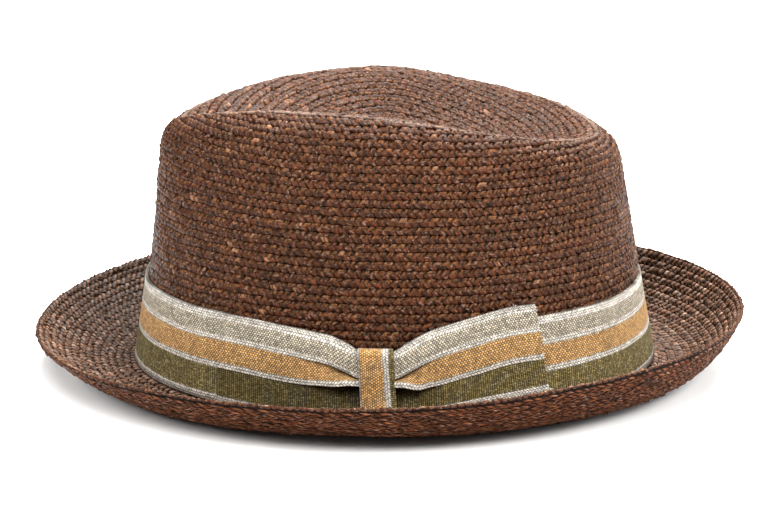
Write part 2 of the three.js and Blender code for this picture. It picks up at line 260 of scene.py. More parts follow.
PLAIT_PROFILE = (
    (-0.04, -1.0, 0, 0),
    (0.1, -0.8, 0.6, 0),
    (0.32, -0.7, 0.65, 0),
    (0.5, -0.9, 0.25, 0.25),
    (0.68, -0.7, 0, 0.65),
    (0.9, -0.8, 0, 0.6),
    (1.04, -1.0, 0, 0),
)

# Straw of the crown and lip, of the brim's top and of its underside: tones from dark to pale, the
# inner lobes' gold and its share, relief heights with the painted shade of the hollows and painted
# highlight of the crests, contrast of the fibres, gloss level, tint and least roughness, how orange a
# few lobes are, and the painted shade on the brim's rows by the crown and on its far side
WALL_STRAW = dict(
    tones=((0.017, 0.0042, 0.0014), (0.033, 0.0095, 0.0033), (0.064, 0.023, 0.010)),
    gold=((0.090, 0.045, 0.016), 0.68),
    painted_shade_and_crest_light=((0.10, 0.05), (0.45, 0.45), (0.80, 1.1)),
    fibres=1.0,
    gloss=(0.13, (1.0, 0.76, 0.60), 0.32),
    orange_share=0.45,
)
RUNG_STRAW = dict(
    tones=((0.040, 0.019, 0.011), (0.112, 0.064, 0.044), (0.31, 0.225, 0.175)),
    gold=((0.11, 0.058, 0.024), 0.8),
    painted_shade_and_crest_light=((0.34, 0.02), (0.74, 0.42), (0.95, 1.4)),
    fibres=0.9,
    gloss=(0.12, (1.0, 0.82, 0.70), 0.32),
    orange_share=0.2,
    painted_crown_shade=0.60,
    painted_far_shade=0.40,
)
PLAIT_STRAW = dict(
    tones=((0.024, 0.007, 0.0025), (0.048, 0.016, 0.0065), (0.11, 0.046, 0.021)),
    gold=((0.09, 0.038, 0.014), 0.3),
    painted_shade_and_crest_light=((0.20, 0.02), (0.70, 0.35), (0.95, 1.7)),
    fibres=1.0,
    gloss=(0.08, (1.0, 0.78, 0.62), 0.50),
    orange_share=0.2,
)

# Colours that these share: orange lobes, with the tone they start from, painted glints and the painted
# highlight along the fold
ORANGE_FROM = 0.990
ORANGE_STRAW = (0.20, 0.105, 0.058)
PAINTED_GLINT = (0.20, 0.138, 0.115)
PAINTED_FOLD_HIGHLIGHT = (0.24, 0.185, 0.150)

# How fast the painted shade on the brim's far side lifts towards the near side and the back, per metre
FAR_SHADE_RISE = (5.0, 1.6, 0.0)

# How deep the bump of the fibres, of the hidden straw's rows and of the threads is, in metres
FIBRE_BUMP, ROW_BUMP, THREAD_BUMP = 0.0008, 0.0006, 0.0003

# Camera in millimetres; the floor's reach from the middle and the lights in metres
CAMERA_DISTANCE = 850.0
CAMERA_AIM_Y, CAMERA_AIM_HEIGHT = -2.3, 40.2
CAMERA_YAW = math.radians(0.5)
CAMERA_ELEVATION = math.radians(15.0)
CAMERA_LENS = 99.16
WORLD_LIGHT = 0.18
FLOOR_REACH = 2.5
LIGHT_AIM = (0.0, 0.0, 0.05)
LIGHTS = (
    # name, place, size, power
    ("light_top", (-0.45, 0.16, 1.10), (0.9, 0.9), 60.0),
    ("light_left", (0.40, -1.00, 0.75), (1.1, 0.50), 15.5),
    ("light_front", (0.85, -0.15, 1.15), (0.8, 0.55), 19.5),
    ("light_right", (0.80, 0.95, 1.15), (0.7, 0.50), 27.0),
    ("light_side", (0.05, 1.20, 0.50), (0.9, 0.40), 11.0),
)


def curve_through(xs, ys, x, paired=False):
    """Curve through uneven points, with each slope taken from the two neighbours.

    With paired set, each x has its own column of ys.
    """
    xs = np.asarray(xs, float)
    ys = np.asarray(ys, float)
    x = np.clip(np.asarray(x, float), xs[0], xs[-1])
    last = len(xs) - 1
    before = np.maximum(np.arange(last + 1) - 1, 0)
    after = np.minimum(np.arange(last + 1) + 1, last)
    tail = (1,) * (ys.ndim - 1)
    slope = (ys[after] - ys[before]) / (xs[after] - xs[before]).reshape(-1, *tail)
    i = np.clip(np.searchsorted(xs, x, side="right") - 1, 0, last - 1)
    span, t = xs[i + 1] - xs[i], (x - xs[i]) / (xs[i + 1] - xs[i])
    if paired:
        here, following = (i, np.arange(len(x))), (i + 1, np.arange(len(x)))
    else:
        here, following = i, i + 1
        span, t = span.reshape(*x.shape, *tail), t.reshape(*x.shape, *tail)
    ends = (1 + 2 * t) * (1 - t) ** 2 * ys[here] + t * t * (3 - 2 * t) * ys[following]
    return ends + span * (slope[here] * t * (1 - t) ** 2 + slope[following] * t * t * (t - 1))


def cosine_sum(terms, phi):
    mean, cos1, cos3 = terms
    return mean + cos1 * np.cos(phi) + cos3 * np.cos(3 * phi)


def crown_value(column, phi):
    """One column of the crown table at any angle; x changes sign on the far side."""
    degrees = np.degrees(phi) % 360
    mirrored = degrees > 180
    angle = np.where(mirrored, 360 - degrees, degrees)
    sign = -1.0 if column == "x" else 1.0
    values = [row[CROWN_COLUMNS.index(column)] for row in CROWN]
    values = [sign * values[1], *values, sign * values[-2]]
    value = curve_through(30.0 * np.arange(-1, len(CROWN) + 1), values, angle)
    return np.where(mirrored, sign * value, value)


def oval_point(phi, out):
    """The head oval, moved outwards along its normal."""
    normal = np.stack([HEAD_HALF_LENGTH * np.sin(phi), -HEAD_HALF_WIDTH * np.cos(phi)], -1)
    normal /= np.linalg.norm(normal, axis=-1, keepdims=True)
    point = np.stack([HEAD_HALF_WIDTH * np.sin(phi), -HEAD_HALF_LENGTH * np.cos(phi)], -1)
    return point + normal * np.asarray(out)[..., None]


def leans(phi):
    """How far the wall has leaned in at each of the height shares: shares by angles."""
    return np.stack([0 * phi, *(crown_value(key, phi) for key in CROWN_COLUMNS[3:7]), 0 * phi + 1])


def wall_points(phi, shares, depth):
    """Crown wall for angles and shares of its height: an array of shares by angles by 3."""
    foot = oval_point(phi, -depth * STRAW + 0 * phi)
    top = np.stack([crown_value("x", phi), crown_value("y", phi) - DENT_CENTRE_Y], -1)
    top *= 1 - depth * FOLD_INSET / np.linalg.norm(top, axis=-1, keepdims=True)
    top[..., 1] += DENT_CENTRE_Y
    lean = curve_through(HEIGHT_SHARES, leans(phi), shares)
    plan = foot + (top - foot) * lean[..., None]
    low = STRAW + SEAM_GAP
    high = crown_value("z", phi) - depth * FOLD_DROP
    z = low + (high - low) * np.asarray(shares)[:, None]
    return np.concatenate([plan, z[..., None]], -1)


def dent_points(phi, shares, depth):
    """Dent from the fold (share 0) to its centre (share 1)."""
    x, y, crest, rim = (crown_value(key, phi) for key in ("x", "y", "z", "rim"))
    rim_share = rim / np.hypot(x, y - DENT_CENTRE_Y)
    share = np.asarray(shares)[:, None]
    inward = np.clip((share - rim_share) / (1 - rim_share), 0, 1)
    fall = 1 - (1 - (1 - inward) ** DENT_BOWL) ** DENT_SIDE
    floor = DENT_FLOOR - depth * STRAW
    high = crest - depth * FOLD_DROP
    on_rim = RIM_FALL * rim * (1 - np.minimum(share / rim_share, 1))
    z = floor + (high - floor - RIM_FALL * rim) * fall + on_rim
    start = wall_points(phi, np.array([1.0]), depth)[0, :, :2]
    plan = start + (np.array([0.0, DENT_CENTRE_Y]) - start) * share[..., None]
    return np.concatenate([plan, z[..., None]], -1)


def beside_wall(phi, z, out):
    """Points beside the crown wall at a height, moved outwards."""
    phi, z, out = np.broadcast_arrays(*(np.asarray(v, float) for v in (phi, z, out)))
    shape, phi, z, out = phi.shape, phi.ravel(), z.ravel(), out.ravel()
    low = STRAW + SEAM_GAP
    share = (z - low) / (crown_value("z", phi) - low)
    foot = oval_point(phi, 0 * phi)
    top = np.stack([crown_value("x", phi), crown_value("y", phi)], -1)
    lean = curve_through(HEIGHT_SHARES, leans(phi), share, paired=True)
    plan = (top - foot) * lean[:, None] + oval_point(phi, out)
    return np.concatenate([plan, z[:, None]], -1).reshape(*shape, 3)


def round_table(table, phi):
    """A table's values at any angle, with even steps round the hat from the front."""
    turns = np.degrees(phi) % 360 / 360 * len(table)
    return curve_through(np.arange(-1, len(table) + 2), table[-1:] + table + table[:2], turns)


def brim_top(phi, distance):
    width = cosine_sum(BRIM_WIDTH, phi)
    run = np.maximum(0, distance - SEAT_WIDTH) / (width - SEAT_WIDTH)
    curl = cosine_sum(BRIM_CURL, phi) + round_table(CURL_BEND, phi)
    rise = (1 - curl) * run + curl * run**3
    z = STRAW + (cosine_sum(LIP_HEIGHT, phi) + round_table(LIP_BEND, phi) - STRAW) * rise
    return np.concatenate([oval_point(phi, distance), z[..., None]], -1)


def brim_points(phi, shares, depth):
    """Brim from the crown wall (share 0) to the lip (share 1), depth in millimetres below its top."""
    distance = np.asarray(shares)[:, None] * cosine_sum(BRIM_WIDTH, phi)
    phi = np.broadcast_to(phi, distance.shape)
    top = brim_top(phi, distance)
    step = 0.5
    slope = (brim_top(phi, distance + step)[..., 2] - top[..., 2]) / step
    length = np.hypot(1, slope)
    outwards = oval_point(phi, 1 + 0 * phi) - oval_point(phi, 0 * phi)
    plan = top[..., :2] + outwards * (depth * slope / length)[..., None]
    return np.concatenate([plan, (top[..., 2] - depth / length)[..., None]], -1)


def resample(wanted, known, grid):
    """Points of each of a grid's columns at wanted values of a measure known at its points."""
    out = np.empty((len(wanted), COLUMNS, 3))
    for c in range(COLUMNS):
        for axis in range(3):
            out[:, c, axis] = np.interp(wanted[:, c], known[:, c], grid[:, c, axis])
    return out


class Surface:
    """A smooth closed band of surface, read by row number and by column."""

    def __init__(self, meridians, rows, seed, even_centre=False, softening=0, fold=None):
        """From one meridian for each column; fold is the number of their point on the fold."""
        self.seed = seed
        steps = 400
        lengths = np.linalg.norm(np.diff(meridians, axis=0), axis=-1).cumsum(0)
        lengths = np.concatenate([np.zeros((1, COLUMNS)), lengths])
        total = lengths[-1]
        even = np.linspace(0, 1, steps)
        out = resample(even[:, None] * total, lengths, meridians)
        for _ in range(softening):
            out[1:-1] = (out[:-2] + 2 * out[1:-1] + out[2:]) / 4
        share = even[:, None]
        if even_centre:
            blend = ease(share)
            number = share * total * ((1 - blend) / total.mean() + blend / total)
        else:
            number = share + 0 * total
        self.fold_row = np.full(COLUMNS, NO_FOLD)
        self.fold_spread = FOLD_WIDTH + FOLD_SPREAD * crown_value("rim", all_angles())
        if fold is not None:
            for c in range(COLUMNS):
                self.fold_row[c] = rows * np.interp(lengths[fold, c] / total[c], even, number[:, c])
        wanted = np.linspace(0, 1, rows * TABLE_STEPS + 1)
        self.points = resample(wanted[:, None] + 0 * total, number, out)
        down = np.gradient(self.points, axis=0)
        round_it = np.roll(self.points, -1, 1) - np.roll(self.points, 1, 1)
        normal = np.cross(round_it, down)
        self.normals = normal / np.maximum(np.linalg.norm(normal, axis=-1, keepdims=True), 1e-9)

    def stray(self, row, column):
        """How far the edge between two rows strays from its place."""
        rng = np.random.default_rng(self.seed + row)
        curve = STRAY * smooth_noise(rng, COLUMNS, 16, 3)
        return np.interp(column, np.arange(COLUMNS + 1), np.append(curve, curve[0]))

    def read(self, row, column):
        """Points and normals at row numbers and column positions."""
        r = np.clip(row * TABLE_STEPS, 0, len(self.points) - 1.001)
        r0 = r.astype(int)
        fr = (r - r0)[..., None]
        c = column % COLUMNS
        c0 = c.astype(int) % COLUMNS
        fc = (c - np.floor(c))[..., None]
        c1 = (c0 + 1) % COLUMNS
        both = []
        for grid in (self.points, self.normals):
            near = grid[r0, c0] * (1 - fc) + grid[r0, c1] * fc
            far = grid[r0 + 1, c0] * (1 - fc) + grid[r0 + 1, c1] * fc
            both.append(near * (1 - fr) + far * fr)
        return both


def all_angles():
    return np.linspace(0, 2 * math.pi, COLUMNS, endpoint=False)


def ease(x):
    x = np.clip(x, 0, 1)
    return x * x * (3 - 2 * x)


def crown_surface():
    phi = all_angles()
    wall = wall_points(phi, np.linspace(0, 1, 120), 0)
    dent = dent_points(phi, np.linspace(0, 0.999, 120), 0)
    points = np.concatenate([wall, dent[1:]])
    y, z = points[..., 1].copy(), points[..., 2].copy()
    ribbon_top, corner_start = 33, 65
    above_ribbon = ease((z - ribbon_top) / 10)
    corner = PROUD_CORNER * ease((z - corner_start) / 30)
    points[..., 1] += ease(y / 90) * above_ribbon * (PROUD_BACK + corner)
    points[..., 2] += PROUD_TOP
    return Surface(points, CROWN_ROWS, 100, even_centre=True, softening=14, fold=len(wall) - 1)


def smooth_noise(rng, count, waves, reach):
    """A gentle closed random curve with values of about one."""
    t = np.arange(count) / count * 2 * math.pi
    total = np.zeros(count)
    for k in range(1, waves):
        total += rng.normal() * np.cos(reach * k * t + rng.uniform(0, 7)) / math.sqrt(k)
    return total / max(total.std(), 1e-6)


def lengths_round(points):
    """How far each point of a closed line lies along it, and once round."""
    steps = np.linalg.norm(np.roll(points, -1, 0) - points, axis=-1)
    return np.concatenate([[0], steps.cumsum()])


def grid_corners(rows, columns, wrap_rows=False, wrap_columns=False):
    """Corners of a grid's quads as row and column numbers, running past the end where it wraps."""
    r, c = np.indices((rows if wrap_rows else rows - 1, columns if wrap_columns else columns - 1))
    r = np.stack([r, r, r + 1, r + 1], -1).reshape(-1, 4)
    c = np.stack([c, c + 1, c + 1, c], -1).reshape(-1, 4)
    return r, c


def braid_ring(surface, row, profile, lobe, shape, lean, filled, rng):
    """One ring of braid: points, how far they stand out, faces, UVs, lobe tones and the painted
    highlight along the fold.

    shape is a lobe's outline along the row; filled is how far a notch may close.
    """
    phases, rises = shape
    shares, notch, edge, inner = (np.array(column)[:, None] for column in zip(*profile))
    shear = np.where(shares < LOBES_MEET, lean[0], lean[1]) * (shares - LOBES_MEET)
    middle = surface.read(np.full(COLUMNS, row + 0.4), np.arange(COLUMNS, dtype=float))[0]
    lengths = lengths_round(middle)
    lobes = max(6, round(lengths[-1] / lobe))
    steps = len(phases)
    phase = np.tile(phases, lobes)
    count = lobes * steps
    wobble = np.repeat(rng.normal(0, PLACE_SPREAD, lobes), steps) * (phase > 0)
    place = np.repeat(np.arange(lobes), steps) + phase + wobble + rng.uniform(0, 1) + shear
    column = np.interp(place % lobes / lobes * lengths[-1], lengths, np.arange(COLUMNS + 1))
    rise = np.tile(rises, lobes)
    closed = filled * np.repeat(rng.uniform(0, 1, (2, lobes)) ** 1.5, steps, axis=1)
    round_edge = rise + (1 - rise) * closed[0]
    round_inner = np.roll(rise + (1 - rise) * closed[1], steps // 2)
    edge_size = np.repeat(rng.normal(1, EDGE_SPREAD, lobes), steps)
    inner_size = np.roll(np.repeat(rng.normal(1, INNER_SPREAD, lobes), steps), -(steps // 2))
    height = notch + edge * round_edge * edge_size + inner * round_inner * inner_size
    tilt = np.repeat(rng.normal(0, TILT_SPREAD, lobes), steps) * round_edge
    height = height + tilt * np.clip(1.4 * shares * (1 - shares), 0, 1)
    scallop = SCALLOP * (1 - round_edge) * np.clip(1 - shares / 0.33, 0, 1.3)
    stray = surface.stray(row, column) * (1 - shares) + surface.stray(row + 1, column) * shares
    base, normal = surface.read(row + shares + scallop + stray, column)
    points = base + normal * height[..., None]
    blend = inner / (edge + inner + 1e-6)
    out = (round_edge * (1 - blend) + round_inner * blend) * (edge + inner > 0)
    # Painted highlight along the fold: paler straw in the rows round it, wider where the rim is flat
    nearest = column.astype(int) % COLUMNS
    inwards = row + shares - surface.fold_row[nearest]
    spread = np.where(inwards > 0, surface.fold_spread[nearest], FOLD_WIDTH)
    fold_highlight = np.exp(-(inwards / spread) ** 2) * (0.5 + 0.5 * np.exp(-(inwards / FOLD_WIDTH) ** 2))
    r, c = grid_corners(len(shares), count, wrap_columns=True)
    along = np.concatenate([np.repeat(np.arange(lobes), steps) + phase, [lobes]])
    uv = np.stack([along[c], row + shares[r, 0]], -1)
    is_inner = (edge[:-1] + edge[1:] < inner[:-1] + inner[1:])[r[:, 0], 0]
    index = np.where(is_inner, (c[:, 0] + steps // 2) // steps % lobes, c[:, 0] // steps)
    tone, hue = rng.uniform(0, 1, (2, 2, lobes))
    kind = is_inner.astype(int)
    colour = np.stack([tone[kind, index], hue[kind, index], is_inner, is_inner * 0 + 1.0], -1)
    faces = r * count + c % count
    return points.reshape(-1, 3), out.ravel(), faces, uv, colour, fold_highlight.ravel()


def joined(verts, faces):
    """The vertices and faces of several meshes as those of one."""
    starts = np.cumsum([0, *map(len, verts[:-1])])
    return np.concatenate(verts), np.concatenate([part + start for part, start in zip(faces, starts)])


def mesh_object(name, verts, faces, material, uv):
    """An object from vertices in hat millimetres and faces of one size; it rides on the hat."""
    mesh = bpy.data.meshes.new(name)
    verts = (np.asarray(verts, float) + (0, OVAL_CENTRE_Y, 0)) * MM
    mesh.from_pydata(verts.tolist(), [], np.asarray(faces).tolist(), shade_flat=False)
    layer = mesh.uv_layers.new(name="cloth")
    layer.data.foreach_set("uv", np.ascontiguousarray(uv, dtype=float).ravel())
    mesh.materials.append(material)
    mesh.validate()
    piece = bpy.data.objects.new(name, mesh)
    bpy.context.scene.collection.objects.link(piece)
    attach(piece, "root")
    return piece


def braid_object(name, surface, rows, material, node, seed,
                 profile=BRAID_PROFILE, lobe=LOBE, shape=STEEP_LOBE, lean=(-0.55, 0.65), filled=0.45):
    """Rings of braid on a surface, joined into one piece."""
    rng = np.random.default_rng(seed)
    rings = [braid_ring(surface, row, profile, lobe, shape, lean, filled, rng) for row in rows]
    verts, out, faces, uv, tones, fold_highlight = zip(*rings)
    verts, faces = joined(verts, faces)
    out, uv, tones, fold_highlight = map(np.concatenate, (out, uv, tones, fold_highlight))
    pressed_flat = 0.02
    verts[:, 2] = np.maximum(verts[:, 2], pressed_flat)
    piece = mesh_object(name, verts, faces, material, uv)
    lobes = piece.data.attributes.new("lobe", "FLOAT_COLOR", "FACE")
    lobes.data.foreach_set("color", tones.astype(np.float32).ravel())
    for label, values in (("relief", out), ("fold_highlight", fold_highlight)):
        attribute = piece.data.attributes.new(label, "FLOAT", "POINT")
        attribute.data.foreach_set("value", values.astype(np.float32))
    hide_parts(node)
    return piece


class Nodes:
    """Short words for building a material's node tree."""

    def __init__(self, name):
        self.material = bpy.data.materials.new(name)
        self.material.use_nodes = True
        self.tree = self.material.node_tree
        self.shader = self.tree.nodes["Principled BSDF"]

    def add(self, kind, inputs=(), **settings):
        node = self.tree.nodes.new("ShaderNode" + kind)
        for key, value in settings.items():
            setattr(node, key, value)
        for key, value in dict(inputs).items():
            self.put(node.inputs[key], value)
        return node

    def put(self, socket, value):
        if isinstance(value, bpy.types.NodeSocket):
            self.tree.links.new(value, socket)
        elif socket.type == "RGBA":
            socket.default_value = (*value, 1.0)
        else:
            socket.default_value = value

    def finish(self, colour, roughness, specular):
        self.put(self.shader.inputs["Base Color"], colour)
        self.put(self.shader.inputs["Roughness"], roughness)
        self.shader.inputs["Specular IOR Level"].default_value = specular

    def bump(self, height, strength, distance):
        bump = self.add("Bump", {"Height": height, "Strength": strength, "Distance": distance})
        self.put(self.shader.inputs["Normal"], bump.outputs[0])

    def uv(self):
        return self.add("UVMap", uv_map="cloth").outputs[0]

    def attribute(self, name, output="Fac"):
        return self.add("Attribute", attribute_name=name).outputs[output]

    def x_and_y(self, vector):
        return self.add("SeparateXYZ", {"Vector": vector}).outputs[:2]

    def math(self, operation, *values):
        return self.add("Math", enumerate(values), operation=operation).outputs[0]

    def product(self, value, *others):
        for other in others:
            value = self.math("MULTIPLY", value, other)
        return value

    def line(self, value, slope, start):
        return self.math("MULTIPLY_ADD", value, slope, start)

    def wave(self, value):
        return self.math("ABSOLUTE", self.math("SINE", self.product(value, math.pi)))

    def mix(self, share, a, b, blend="MIX"):
        inputs = {0: share, 6: a, 7: b}
        return self.add("Mix", inputs, data_type="RGBA", blend_type=blend).outputs[2]

    def shade(self, colour, light):
        return self.mix(1.0, colour, light, "MULTIPLY")

    def blend(self, share, a, b):
        return self.add("Mix", {0: share, 2: a, 3: b}, data_type="FLOAT").outputs[0]

    def ramp(self, value, stops, interpolation="LINEAR"):
        """Colours at places; a grey may be one number."""
        node = self.add("ValToRGB", {"Fac": value})
        ramp = node.color_ramp
        ramp.interpolation = interpolation
        while len(ramp.elements) < len(stops):
            ramp.elements.new(0.5)
        for element, (place, colour) in zip(ramp.elements, stops):
            element.position = place
            element.color = (*(colour if isinstance(colour, tuple) else (colour,) * 3), 1.0)
        return node.outputs[0]

    def noise(self, vector, detail, rough=0.5, scale=1.0):
        inputs = {"Vector": vector, "Scale": scale, "Detail": detail, "Roughness": rough}
        return self.add("TexNoise", inputs).outputs["Fac"]

    def stretch(self, vector, x, y):
        return self.add("Mapping", {"Vector": vector, "Scale": (x, y, 1.0)}).outputs[0]


def straw_material(name, tones, gold, painted_shade_and_crest_light, fibres, gloss, orange_share, painted_crown_shade=1.0, painted_far_shade=1.0):
    """Dyed straw: each lobe has its own tone and its own fibres, with painted shade in the hollows and
    painted highlight on the crests.
    """
    n = Nodes(name)
    uv = n.uv()
    along, row = n.x_and_y(uv)
    lobe = n.attribute("lobe", "Color")
    tone, hue, inner = n.add("SeparateColor", {"Color": lobe}).outputs[:3]
    own = n.product(n.math("ADD", tone, hue), 40.0)

    def along_lobe(x, y):
        place = {"X": n.product(along, x), "Y": n.product(row, y), "Z": own}
        return n.add("CombineXYZ", place).outputs[0]

    fibre = n.noise(along_lobe(3.4, 0.9), 2.0, 0.7)
    speck = n.noise(along_lobe(4.5, 4.5), 2.0, 0.6)
    patch = n.noise(n.stretch(uv, 0.05, 0.4), 2.0)

    dark, mid, pale = tones
    rust = (mid[0] * 1.35, mid[1] * 1.05, mid[2] * 0.80)
    ash = (mid[0] * 0.80, mid[1] * 1.05, mid[2] * 1.30)
    tint = n.ramp(hue, [(0.0, ash), (0.5, mid), (1.0, rust)])
    colour = n.ramp(tone, [(0.0, dark), (0.30, mid), (0.70, mid), (1.0, pale)])
    colour = n.mix(0.45, colour, tint)
    gold_colour, gold_share = gold
    golden = n.ramp(speck, [(0.46, 0.0), (0.58, 1.0)])
    colour = n.mix(n.product(inner, golden, gold_share), colour, gold_colour)
    orange = n.product(n.math("GREATER_THAN", tone, ORANGE_FROM), orange_share)
    colour = n.mix(orange, colour, ORANGE_STRAW)

    streak = n.ramp(fibre, [(0.36, (0.22, 0.19, 0.17)), (0.50, 0.95), (0.64, (1.75, 1.68, 1.60))])
    colour = n.mix(fibres, colour, streak, "MULTIPLY")
    # Painted glints: small pale highlights on the fibres
    glint = n.ramp(n.noise(along_lobe(3.0, 3.5), 1.0), [(0.60, 0.0), (0.72, 1.0)])
    colour = n.mix(n.product(glint, 0.5 * fibres), colour, PAINTED_GLINT)
    colour = n.shade(colour, n.ramp(patch, [(0.3, (0.84, 0.82, 0.82)), (0.7, (1.16, 1.13, 1.10))]))
    # Painted highlight along the fold, broken up by patches and fibres
    patchy = n.product(n.line(patch, 1.6, -0.25), n.line(fibre, 1.2, 0.1))
    colour = n.mix(n.product(n.attribute("fold_highlight"), patchy), colour, PAINTED_FOLD_HIGHLIGHT)

    # Painted shade in the hollows between lobes and rows, and painted highlight on the crests
    depths = [(height, (light, light * 0.95, light * 0.92)) for height, light in painted_shade_and_crest_light]
    colour = n.shade(colour, n.ramp(n.attribute("relief"), depths))
    # Painted shade on the brim's rows towards the crown, which shades them
    if painted_crown_shade != 1.0:
        shade_by_crown = n.ramp(n.math("DIVIDE", row, BRIM_ROWS), [(0.15, 1.0), (0.9, painted_crown_shade)])
        colour = n.shade(colour, shade_by_crown)
    # Painted shade: the brim darker on its far side and paler towards the near side and the back
    if painted_far_shade != 1.0:
        spot = n.add("TexCoord").outputs["Object"]
        reach = n.add("VectorMath", {0: spot, 1: FAR_SHADE_RISE}, operation="DOT_PRODUCT")
        reach = n.math("ADD", reach.outputs["Value"], 0.5)
        colour = n.shade(colour, n.ramp(reach, [(0.15, painted_far_shade), (0.48, 0.95), (0.75, 1.0)]))
    level, tint, least_roughness = gloss
    n.finish(colour, n.line(speck, 0.30, least_roughness), level)
    n.put(n.shader.inputs["Specular Tint"], tint)
    n.bump(n.line(speck, 0.4, fibre), 0.9, FIBRE_BUMP)
    return n.material


def plain_straw_material(name):
    """The inside of the crown and the brim's middle: rows of straw without lobes of their own, with
    painted shade between the rows.
    """
    n = Nodes(name)
    uv = n.uv()
    ridge = n.wave(n.x_and_y(uv)[1])
    fibre = n.noise(n.stretch(uv, 0.9, 3.0), 3.0, 0.6)
    colour = n.ramp(fibre, [(0.3, (0.024, 0.009, 0.004)), (0.7, (0.080, 0.036, 0.018))])
    # Painted shade between the rows
    colour = n.shade(colour, n.ramp(ridge, [(0.0, (0.06, 0.05, 0.05)), (0.35, 1.0)]))
    n.finish(colour, 0.7, 0.1)
    n.bump(n.line(fibre, 0.5, n.math("POWER", ridge, 0.5)), 0.8, ROW_BUMP)
    return n.material


def ribbon_material(name):
    """Woven stripes; the UV is in millimetres along and across the ribbon.

    Coloured threads run along the ribbon and one plain thread crosses them all.
    """
    n = Nodes(name)
    uv = n.uv()
    x, y = n.x_and_y(uv)
    x = n.line(n.noise(n.stretch(uv, 0.12, 0.0), 1.0), 1.2, x)
    drift = n.noise(n.stretch(uv, 0.05, 0.40), 1.0)
    y = n.line(n.math("SUBTRACT", drift, 0.5), 0.6, y)
    fray = n.noise(n.stretch(uv, 2.2, 0.5), 1.0)
    border = n.line(n.math("SUBTRACT", fray, 0.5), 0.7, y)
    share = n.math("DIVIDE", border, RIBBON_WIDTH)
    stops, edge = [], 0.0
    for width, colour in STRIPES:
        stops.append((edge / RIBBON_WIDTH, colour))
        edge += width
    stripe = n.ramp(share, stops, "CONSTANT")
    is_white = n.ramp(share, [(at, float(colour == WHITE)) for at, colour in stops], "CONSTANT")
    is_olive = n.ramp(share, [(at, float(colour == OLIVE)) for at, colour in stops], "CONSTANT")

    def threads(along, across, slant, stagger=0.5):
        """Bumps of a weave: their number each way and how round they stand up.

        With a slant the bumps of neighbouring lines lean opposite ways.
        """
        v = n.math("DIVIDE", y, across)
        line = n.math("FLOOR", v)
        u = n.line(line, stagger, n.math("DIVIDE", x, along))
        lean = n.line(n.math("PINGPONG", line, 1.0), -2.0 * slant, slant)
        u = n.line(n.math("SUBTRACT", n.math("FRACT", v), 0.5), lean, u)
        return n.math("FLOOR", u), line, n.product(n.wave(u), n.math("POWER", n.wave(v), 0.6))

    cell_u, cell_v, bump = threads(WEAVE_ALONG, WEAVE_ACROSS, WEAVE_SLANT)
    _, _, twill = threads(TWILL_ALONG, TWILL_ACROSS, TWILL_SLANT)
    rib_u, rib_v, ribbed = threads(RIB_ALONG, RIB_ACROSS, 0.0, stagger=0.0)
    spot = {"X": n.blend(is_olive, cell_u, rib_u), "Y": n.blend(is_olive, cell_v, rib_v)}
    spot = n.add("CombineXYZ", spot).outputs[0]
    cell = n.add("TexWhiteNoise", {"Vector": spot}, noise_dimensions="2D").outputs[0]
    cross = n.math("FLOOR", n.math("DIVIDE", x, RIB_ALONG))
    cross = n.add("TexWhiteNoise", {"W": cross}, noise_dimensions="1D").outputs[0]
    dome = n.math("POWER", n.blend(is_olive, n.blend(is_white, bump, twill), ribbed), 0.5)

    hole = n.ramp(dome, [(0.42, 1.0), (0.75, 0.0)])
    behind = n.mix(is_olive, WEFT, OLIVE_WEFT)
    colour = n.mix(n.product(hole, n.line(is_white, -0.40, 0.95)), stripe, behind)
    pick = n.product(is_olive, n.math("POWER", cell, 6.0), 0.20)
    colour = n.mix(pick, colour, OLIVE_PICK)
    rib = n.line(cross, n.blend(is_olive, 0.20, 0.35), n.blend(is_olive, 0.90, 0.82))
    fleck = n.line(cell, n.blend(is_olive, 0.75, 0.90), n.blend(is_olive, 0.66, 0.62))
    # Painted shade in the hollows between thread bumps and painted highlight on their tops
    weave_shade_and_highlight = n.line(dome, n.blend(is_white, 1.35, 0.95), n.blend(is_white, -0.04, 0.30))
    # Painted shade: the ribbon darker along its top edge
    painted_edge_shade = n.ramp(n.math("DIVIDE", y, RIBBON_WIDTH), [(0.0, 0.60), (0.08, 0.97)])
    # The fold attribute holds painted shade for the fold beside the knot and under it
    not_fold_shaded = n.math("SUBTRACT", 1.0, n.attribute("fold"))
    light = n.product(rib, fleck, n.product(weave_shade_and_highlight, painted_edge_shade, not_fold_shaded))
    grey = n.add("CombineColor", {0: light, 1: light, 2: light}).outputs[0]
    n.finish(n.shade(colour, grey), 0.85, 0.12)
    n.shader.inputs["Sheen Weight"].default_value = 0.03
    n.bump(dome, 0.8, THREAD_BUMP)
    return n.material


def closed_body(name, verts, faces, material, uv):
    """A piece from a closed body, turned so that its faces point out."""
    a, b, c, d = (verts[faces[:, k]] for k in range(4))
    if (np.cross(a, b) * c).sum() + (np.cross(a, c) * d).sum() <= 0:
        faces, uv = faces[:, ::-1], uv[:, ::-1]
    return mesh_object(name, verts, faces, material, uv)


def ring_body(name, sections, material, uv):
    """A closed body swept round the head: sections is angles by points by 3."""
    angles, count = sections.shape[:2]
    r, c = grid_corners(angles, count, wrap_rows=True, wrap_columns=True)
    faces = r % angles * count + c % count
    return closed_body(name, sections.reshape(-1, 3), faces, material, uv[r, c])


def slab_body(name, front, back, material, uv):
    """A closed slab between two grids; its back and its edges take the front's UV."""
    rows, columns = front.shape[:2]
    count = rows * columns
    verts = np.concatenate([front.reshape(-1, 3), back.reshape(-1, 3)])
    r, c = grid_corners(rows, columns)
    face = r * columns + c
    grid = np.arange(count).reshape(rows, columns)
    border = np.concatenate([grid[0, :-1], grid[:-1, -1], grid[-1, :0:-1], grid[:0:-1, 0]])
    following = np.roll(border, -1)
    edge = np.stack([border, border + count, following + count, following], -1)
    faces = np.concatenate([face, face[:, ::-1] + count, edge])
    return closed_body(name, verts, faces, material, np.concatenate([uv.reshape(-1, 2)] * 2)[faces])


